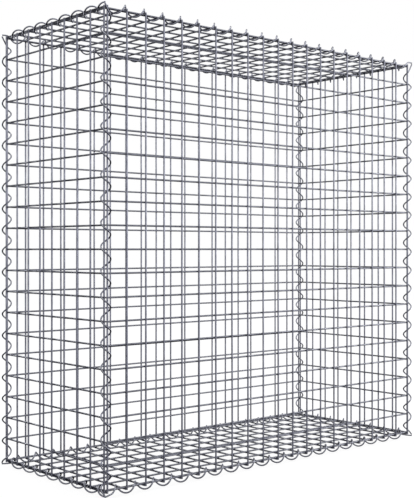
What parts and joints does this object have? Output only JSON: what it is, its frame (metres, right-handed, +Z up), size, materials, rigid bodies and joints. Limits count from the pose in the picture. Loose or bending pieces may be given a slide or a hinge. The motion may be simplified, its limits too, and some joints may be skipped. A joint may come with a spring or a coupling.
{
  "type": "empty welded mesh gabion basket",
  "caption": "Empty box-shaped gabion basket of welded square wire mesh, its panels laced together along every edge by wire spirals.",
  "frame": {"origin": "on the floor under the middle of the basket", "axes": "+X along the long front, +Y from the front to the back, +Z up"},
  "size_m": [1.0362, 0.4304, 1.033],
  "materials": {
    "mesh_wire": "zinc-aluminium coated drawn wire, dull blue-grey sheen",
    "spiral_wire": "zinc-aluminium coated drawn wire, dull blue-grey sheen"
  },
  "bodies": {
    "root": {"front_panel": "mesh_wire", "back_panel": "mesh_wire", "left_end_panel": "mesh_wire", "right_end_panel": "mesh_wire", "lid_panel": "mesh_wire", "base_panel": "mesh_wire", "front_lid_spiral": "spiral_wire", "back_lid_spiral": "spiral_wire", "front_base_spiral": "spiral_wire", "back_base_spiral": "spiral_wire", "left_lid_spiral": "spiral_wire", "right_lid_spiral": "spiral_wire", "left_base_spiral": "spiral_wire", "right_base_spiral": "spiral_wire", "front_left_spiral": "spiral_wire", "front_right_spiral": "spiral_wire", "back_right_spiral": "spiral_wire", "back_left_spiral": "spiral_wire"}
  },
  "joints": []
}
